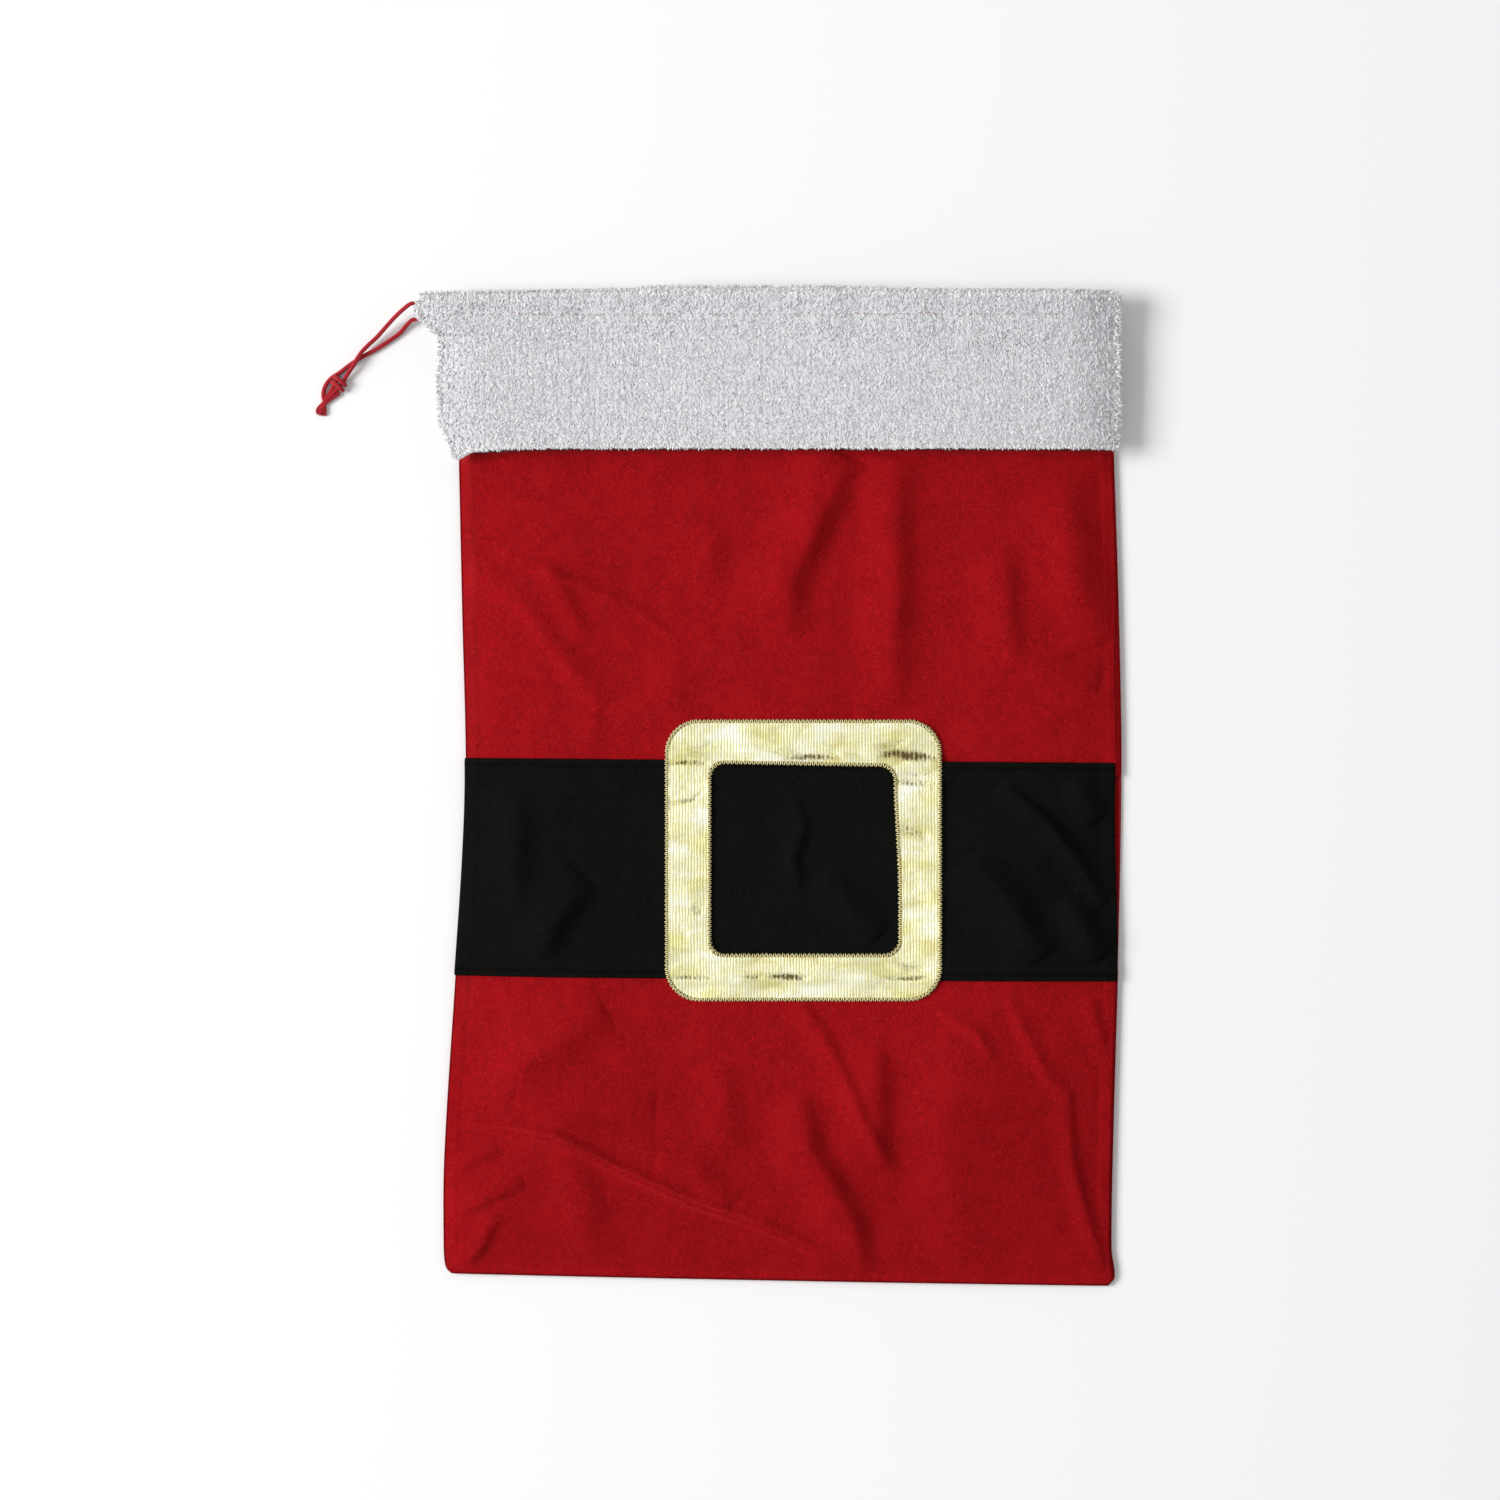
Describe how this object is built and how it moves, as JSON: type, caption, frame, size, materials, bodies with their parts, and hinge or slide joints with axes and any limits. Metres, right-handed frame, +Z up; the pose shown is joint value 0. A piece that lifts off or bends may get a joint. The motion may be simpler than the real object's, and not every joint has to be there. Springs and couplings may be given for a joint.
{
  "type": "fabric gift sack",
  "caption": "Flat felt gift sack with a white plush cuff, a black belt with a gold ring buckle, and a red drawstring that gathers the mouth.",
  "frame": {"origin": "on the surface the sack lies on, under the middle of its footprint without the drawstring's tails", "axes": "+X across the sack, away from the side where the drawstring leaves; +Y from the bottom seam to the mouth; +Z up, out of the front"},
  "size_m": [0.5662, 0.7008, 0.0282],
  "materials": {
    "red_felt": "brushed acrylic felt, matt",
    "black_felt": "brushed acrylic felt, matt",
    "white_plush": "short curly plush pile",
    "gold_lame": "crinkled metallic lame, fine ribs",
    "gold_thread": "satin zigzag thread",
    "red_thread": "sewing thread",
    "red_cord": "braided cord, matt with a faint sheen"
  },
  "bodies": {
    "sack": {"back_panel": "red_felt", "front_upper_panel": "red_felt", "front_lower_panel": "red_felt", "front_belt_panel": "black_felt", "front_cuff": "white_plush", "back_cuff": "white_plush", "buckle_frame": "gold_lame", "buckle_outer_stitch": "gold_thread", "buckle_inner_stitch": "gold_thread", "belt_upper_topstitch": "red_thread", "belt_lower_topstitch": "red_thread", "left_side_seam_thread": "red_thread", "right_side_seam_thread": "red_thread", "bottom_seam_thread": "red_thread", "front_cuff_seam_thread": "red_thread", "back_cuff_seam_thread": "red_thread", "front_casing_thread": "red_thread", "back_casing_thread": "red_thread", "left_cuff_seam_thread": "red_thread", "right_cuff_seam_thread": "red_thread"},
    "drawstring": {"drawstring_casing_loop": "red_cord"},
    "drawstring_tails": {"drawstring_front_tail": "red_cord", "drawstring_back_tail": "red_cord", "drawstring_knot": "red_cord", "drawstring_frayed_end": "red_cord"}
  },
  "joints": [
    {"name": "drawstring_pull", "type": "slide", "parent": "sack", "child": "drawstring", "axis": [-1, 0, 0], "range_m": [0, 0.26], "deforming": ["front_cuff", "back_cuff", "front_casing_thread", "back_casing_thread", "right_cuff_seam_thread", "left_cuff_seam_thread"]},
    {"name": "drawstring_swing", "type": "hinge", "parent": "drawstring", "child": "drawstring_tails", "pos_m": [-0.2475, 0.3336, 0], "axis": [0, 0, 1], "range_deg": [-90, 30], "deforming": ["drawstring_front_tail", "drawstring_back_tail"]}
  ]
}
